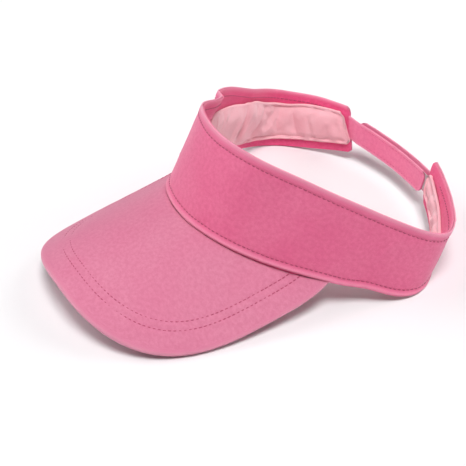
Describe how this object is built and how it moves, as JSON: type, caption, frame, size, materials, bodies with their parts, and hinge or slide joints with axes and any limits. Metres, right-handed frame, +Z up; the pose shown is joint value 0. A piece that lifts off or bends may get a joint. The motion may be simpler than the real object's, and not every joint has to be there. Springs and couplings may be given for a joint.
{
  "type": "sun visor",
  "caption": "Open-crown cotton sun visor: arched stitched brim, wide forehead band with a soft sweatband, and an adjustable strap closure at the back.",
  "frame": {"origin": "centre of the bounding box at floor level", "axes": "+Z up from the floor the visor lies on, +Y towards the back of the head, so the brim points along -Y; +X is the wearer's left"},
  "size_m": [0.1844, 0.2482, 0.0898],
  "materials": {
    "cotton_twill": "matt cotton twill",
    "facing_cloth": "matt cotton, inner side",
    "sweatband_terry": "soft brushed cotton, padded",
    "sewing_thread": "spun polyester",
    "brim_board": "stiff polyethylene board, matt",
    "loop_tape": "fuzzy loop pile",
    "hook_tape": "fine nylon hooks"
  },
  "bodies": {
    "front": {"brim_board": "brim_board", "brim_inner_stitching": "sewing_thread", "brim_outer_stitching": "sewing_thread", "brim_top_cover": "cotton_twill", "brim_under_cover": "cotton_twill", "front_bottom_stitching": "sewing_thread", "front_facing": "facing_cloth", "front_shell": "cotton_twill", "front_sweatband": "sweatband_terry", "front_top_stitching": "sewing_thread"},
    "left_side": {"left_bottom_stitching": "sewing_thread", "left_facing": "facing_cloth", "left_shell": "cotton_twill", "left_sweatband": "sweatband_terry", "left_top_stitching": "sewing_thread", "outer_strap_root": "cotton_twill", "root_box_stitching": "sewing_thread"},
    "right_side": {"right_bottom_stitching": "sewing_thread", "right_facing": "facing_cloth", "right_shell": "cotton_twill", "right_sweatband": "sweatband_terry", "right_top_stitching": "sewing_thread"},
    "outer_strap": {"outer_strap": "cotton_twill", "hook_tape": "hook_tape"},
    "inner_strap": {"inner_strap": "cotton_twill", "loop_tape": "loop_tape"}
  },
  "joints": [
    {"name": "left_flex", "type": "hinge", "parent": "front", "child": "left_side", "pos_m": [0.06969, 0.01429, 0.04518], "axis": [0, -0.4664, -0.8846], "range_deg": [0, 8]},
    {"name": "right_flex", "type": "hinge", "parent": "front", "child": "right_side", "pos_m": [-0.06969, 0.01429, 0.04518], "axis": [0, 0.4664, 0.8846], "range_deg": [0, 8]},
    {"name": "outer_strap_peel", "type": "hinge", "parent": "left_side", "child": "outer_strap", "pos_m": [0.02598, 0.11913, 0.01839], "axis": [0.1724, -0.3791, -0.9092], "range_deg": [0, 110]},
    {"name": "inner_strap_bend", "type": "hinge", "parent": "right_side", "child": "inner_strap", "pos_m": [-0.04846, 0.10603, 0.02319], "axis": [0.2907, -0.1705, -0.9415], "range_deg": [0, 45]}
  ],
  "couplings": [
    {"joint": "right_flex", "follows": "left_flex", "ratio": 1}
  ]
}
